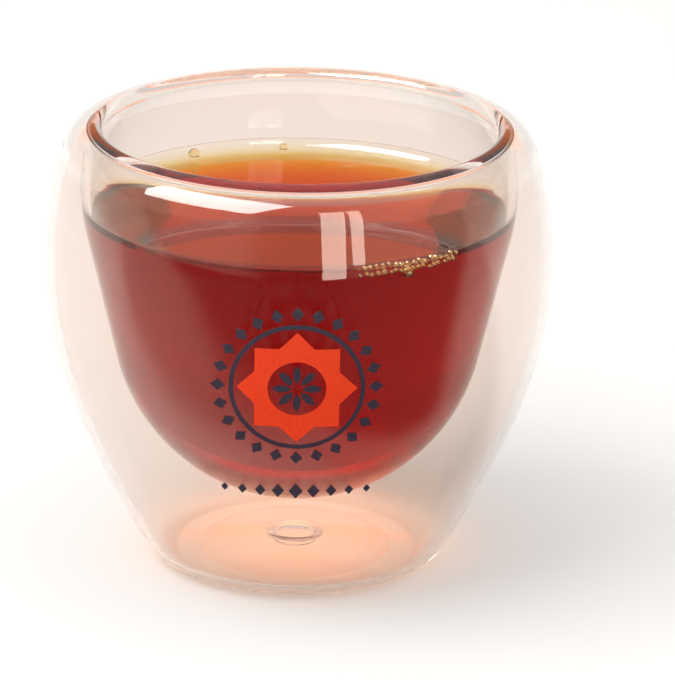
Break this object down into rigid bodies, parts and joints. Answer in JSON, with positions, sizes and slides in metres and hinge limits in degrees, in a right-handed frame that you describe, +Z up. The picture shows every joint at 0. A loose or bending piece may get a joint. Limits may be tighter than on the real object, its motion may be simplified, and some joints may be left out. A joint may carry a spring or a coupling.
{
  "type": "double-walled coffee cup",
  "caption": "Handleless double-walled glass cup with a rolled lip, a round inner bowl filled with coffee and an enamel print on its front, for small servings of hot drinks.",
  "frame": {"origin": "centre of the flat ring that the cup stands on, in the plane of the table", "axes": "+Z up along the cup's axis, -Y towards the printed front, +X to the right of someone who looks at the print"},
  "size_m": [0.072, 0.0722, 0.064],
  "materials": {
    "outer_glass": "clear, fire-polished",
    "inner_glass": "clear, fire-polished",
    "seal_glass": "clear, melted",
    "coffee": "clear dark red-brown liquid",
    "enamel_orange": "fired enamel, satin",
    "enamel_navy": "fired enamel, satin"
  },
  "bodies": {
    "root": {"outer_wall": "outer_glass", "inner_bowl": "inner_glass", "base_seal": "seal_glass", "coffee": "coffee", "print_star": "enamel_orange", "print_border": "enamel_navy"}
  },
  "joints": []
}
